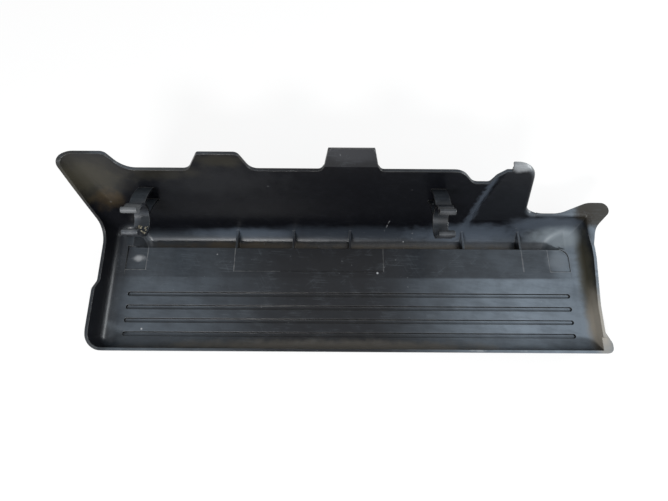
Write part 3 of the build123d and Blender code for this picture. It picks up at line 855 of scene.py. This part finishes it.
@dataclass(frozen=True)
class DryGrit:
    """Pale crumbs of dried dirt.

    Attributes:
        pale: Linear colour of the pale crumbs.
        dark: Linear colour of the dark ones.
        tone_noise: Noise from the dark to the pale colour.
        tone_ramp: Ramp of that noise.
        roughness: Roughness of the crumbs.
        bump_strength: How much their grain shows.
        bump_depth: Depth of the grain, m.
    """

    pale: Colour = (0.36, 0.33, 0.25)
    dark: Colour = (0.07, 0.06, 0.04)
    tone_noise: Noise = Noise(0.7)
    tone_ramp: Ramp = Ramp(0.35, 0.65)
    roughness: float = 0.9
    bump_strength: float = 0.5
    bump_depth: float = 0.0005

    def build(self, effects: Effects) -> bpy.types.Material:
        """Make the material.

        Args:
            effects: The shared effects.

        Returns:
            The finished material.
        """
        material = bpy.data.materials.new("dry_grit")
        material.use_nodes = True
        graph = Graph(material.node_tree)
        shader = material.node_tree.nodes["Principled BSDF"]
        position = graph.drawing_position()
        tone = graph.ramp(graph.noise(position, self.tone_noise), self.tone_ramp)
        graph.feed(shader.inputs["Base Color"], graph.mix(tone, self.dark, self.pale))
        shader.inputs["Roughness"].default_value = self.roughness
        height = graph.use(effects.grain, Position=position, Fine=1.0, Slow=0.0).outputs["Height"]
        bump = graph.add("ShaderNodeBump")
        bump.inputs["Strength"].default_value = self.bump_strength
        bump.inputs["Distance"].default_value = self.bump_depth
        graph.feed(bump.inputs["Height"], height)
        graph.feed(shader.inputs["Normal"], bump.outputs["Normal"])
        return material


@dataclass
class Cover:
    """The moulded shell itself, which keeps its CAD mesh.

    Attributes:
        finish: Its finish.
    """

    finish: DustyPlastic = field(default_factory=DustyPlastic)

    def dress(self, frame: dict, effects: Effects) -> None:
        """Give the shell its finish.

        Args:
            frame: The loaded frame.
            effects: The shared effects.
        """
        shell = frame["nodes"][COVER_NODE]
        material = self.finish.build(effects)
        for slot in shell.material_slots:
            slot.material = material
        LOG.info("dressed %s", shell.name)


@dataclass
class ClipGrit:
    """Crumbs of dirt that lie in the bore of the left rail clip.

    Attributes:
        ring_y: Bore axis, from the front root, mm.
        ring_z: Bore axis above the floor, mm.
        bore_radius: Radius of the bore, mm.
        x_from: Left end of the crumbs, mm.
        x_to: Right end of the crumbs, mm.
        count: Number of crumbs.
        radii: Smallest and largest crumb, mm.
        angles: Part of the bore that they lie on, degrees.
        lift: Height of a crumb's middle over the bore's wall, as a share of its radius.
        lumps: Least and most stretch of a crumb's points.
        seed: Start of the random draws.
        finish: Their finish.
    """

    ring_y: float = 89.8
    ring_z: float = 62.2
    bore_radius: float = 11.0
    x_from: float = -168.5
    x_to: float = -159.6
    count: int = 26
    radii: tuple[float, float] = (0.45, 1.15)
    angles: tuple[float, float] = (215.0, 265.0)
    lift: float = 0.55
    lumps: tuple[float, float] = (0.82, 1.08)
    seed: int = 11
    finish: DryGrit = field(default_factory=DryGrit)

    def build(self, effects: Effects) -> bpy.types.Object:
        """Make the crumbs as one mesh that lies on the bore's wall.

        Args:
            effects: The shared effects.

        Returns:
            The new object.
        """
        dice = random.Random(self.seed)
        mesh = bmesh.new()
        for _ in range(self.count):
            radius = dice.uniform(*self.radii)
            angle = math.radians(dice.uniform(*self.angles))
            reach = self.bore_radius - radius * self.lift
            centre = Vector((dice.uniform(self.x_from, self.x_to), self.ring_y + reach * math.cos(angle),
                             self.ring_z + reach * math.sin(angle)))
            made = bmesh.ops.create_icosphere(mesh, subdivisions=2, radius=radius)
            for vertex in made["verts"]:
                vertex.co *= dice.uniform(*self.lumps)
                vertex.co += centre
        data = bpy.data.meshes.new("clip_grit")
        for vertex in mesh.verts:
            vertex.co = placed(vertex.co)
        mesh.to_mesh(data)
        mesh.free()
        piece = bpy.data.objects.new("clip_grit", data)
        bpy.context.scene.collection.objects.link(piece)
        data.materials.append(self.finish.build(effects))
        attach(piece, BODY)
        LOG.info("built %s", piece.name)
        return piece


@dataclass
class Lamp:
    """One soft area lamp.

    Attributes:
        name: Its name.
        place: Where it hangs, m.
        aim: What it points at, m.
        size: Its width and height, m.
        power: Its power, W.
        tint: Its colour.
    """

    name: str
    place: tuple[float, float, float]
    aim: tuple[float, float, float]
    size: tuple[float, float]
    power: float
    tint: Colour = (1.0, 1.0, 1.0)

    def hang(self) -> None:
        """Add the lamp to the scene."""
        data = bpy.data.lights.new(self.name, "AREA")
        data.shape = "RECTANGLE"
        data.size, data.size_y = self.size
        data.energy = self.power
        data.color = self.tint
        lamp = bpy.data.objects.new(self.name, data)
        lamp.location = self.place
        towards = Vector(self.aim) - Vector(self.place)
        lamp.rotation_euler = towards.to_track_quat("-Z", "Y").to_euler()
        bpy.context.scene.collection.objects.link(lamp)
        LOG.info("hung %s", self.name)


@dataclass
class Studio:
    """Pale floor, soft light and the camera of the photograph.

    Attributes:
        floor_half: Half width of the floor, m.
        focal_px: Focal length in pixels of the photograph.
        image_width: Width of the photograph, px.
        sensor: Sensor width of the camera, mm.
        eye: Camera place in the drawing frame, mm.
        pitch: Angle of the view below the level of the drawing frame, degrees.
        roll: Turn of the camera about its view, degrees.
        near: Nearest distance that the camera shows, m.
        ambient: Strength of the even light.
        floor_colour: Colour of the floor.
        floor_glow: Share of plain white in the floor as it is seen.
        lamps: The soft lamps.
    """

    floor_half: float = 40.0
    focal_px: float = 482.0
    image_width: float = 668.0
    sensor: float = 36.0
    eye: tuple[float, float, float] = (-12.8, -46.0, 407.0)
    pitch: float = 72.0
    roll: float = 0.35
    near: float = 0.01
    ambient: float = 0.47
    floor_colour: Colour = (0.86, 0.86, 0.86)
    floor_glow: float = 0.82
    lamps: tuple[Lamp, ...] = (
        Lamp("soft_top_front", (0.5, -0.9, 1.4), (0.0, 0.0, 0.03), (0.9, 0.9), 9.5, (0.96, 0.98, 1.0)),
        Lamp("window_right", (1.7, 0.32, 0.5), (0.0, 0.0, 0.03), (0.5, 0.35), 26.0, (0.94, 0.98, 1.0)),
        Lamp("strip_front_left", (-0.37, -1.12, 0.82), (-0.1, 0.04, 0.0), (0.38, 0.16), 21.0),
    )

    def floor(self) -> None:
        """Lay the pale floor."""
        mesh = bmesh.new()
        bmesh.ops.create_grid(mesh, x_segments=1, y_segments=1, size=self.floor_half)
        data = bpy.data.meshes.new("studio_floor")
        mesh.to_mesh(data)
        mesh.free()
        floor = bpy.data.objects.new("studio_floor", data)
        bpy.context.scene.collection.objects.link(floor)
        material = bpy.data.materials.new("pale_floor")
        material.use_nodes = True
        tree = material.node_tree
        tree.nodes.clear()
        graph = Graph(tree)
        matte = graph.add("ShaderNodeBsdfDiffuse")
        matte.inputs["Color"].default_value = (*self.floor_colour, 1.0)
        white = graph.add("ShaderNodeEmission")
        white.inputs["Strength"].default_value = 1.0
        blend = graph.add("ShaderNodeMixShader")
        graph.feed(blend.inputs["Fac"], graph.maths("MULTIPLY", self._seen(graph), self.floor_glow))
        graph.feed(blend.inputs[1], matte.outputs["BSDF"])
        graph.feed(blend.inputs[2], white.outputs["Emission"])
        output = graph.add("ShaderNodeOutputMaterial")
        graph.feed(output.inputs["Surface"], blend.outputs["Shader"])
        data.materials.append(material)
        LOG.info("laid %s", floor.name)

    @staticmethod
    def _seen(graph: Graph) -> bpy.types.NodeSocket:
        """Mark the rays that show the background.

        Args:
            graph: The nodes of the floor or the world.

        Returns:
            The mask of those rays.
        """
        path = graph.add("ShaderNodeLightPath")
        seen = graph.maths("ADD", path.outputs["Is Camera Ray"], path.outputs["Is Glossy Ray"])
        return graph.maths("ADD", seen, path.outputs["Is Transmission Ray"], clamp=True)

    def light(self) -> None:
        """Set the even light and hang the lamps."""
        world = bpy.data.worlds.new("studio_world")
        world.use_nodes = True
        bpy.context.scene.world = world
        tree = world.node_tree
        tree.nodes.clear()
        graph = Graph(tree)
        back = graph.add("ShaderNodeBackground")
        back.inputs["Color"].default_value = (1.0, 1.0, 1.0, 1.0)
        strength = graph.ramp(self._seen(graph), Ramp(0.0, 1.0, self.ambient, 1.0), smooth=False)
        graph.feed(back.inputs["Strength"], strength)
        output = graph.add("ShaderNodeOutputWorld")
        graph.feed(output.inputs["Surface"], back.outputs["Background"])
        for lamp in self.lamps:
            lamp.hang()

    def camera(self) -> None:
        """Set up the camera at the photograph's place and angle."""
        data = bpy.data.cameras.new("photo_camera")
        data.sensor_width = self.sensor
        data.lens = self.focal_px / self.image_width * self.sensor
        data.clip_start = self.near
        camera = bpy.data.objects.new("photo_camera", data)
        tilt = Matrix.Rotation(math.radians(90.0 - self.pitch) + REST_TURN, 4, "X")
        spin = Matrix.Rotation(math.radians(self.roll), 4, "Z")
        camera.matrix_world = Matrix.Translation(placed(self.eye)) @ tilt @ spin
        bpy.context.scene.collection.objects.link(camera)
        bpy.context.scene.camera = camera
        LOG.info("camera at %s", tuple(round(value, 4) for value in camera.location))


def main() -> None:
    """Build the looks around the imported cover."""
    logging.basicConfig(level=logging.INFO, format="%(message)s")
    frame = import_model()
    bpy.context.scene.view_settings.view_transform = "Standard"
    effects = Effects()
    Cover().dress(frame, effects)
    ClipGrit().build(effects)
    studio = Studio()
    studio.floor()
    studio.light()
    studio.camera()
    bpy.context.view_layer.update()


if __name__ == "__main__":
    main()
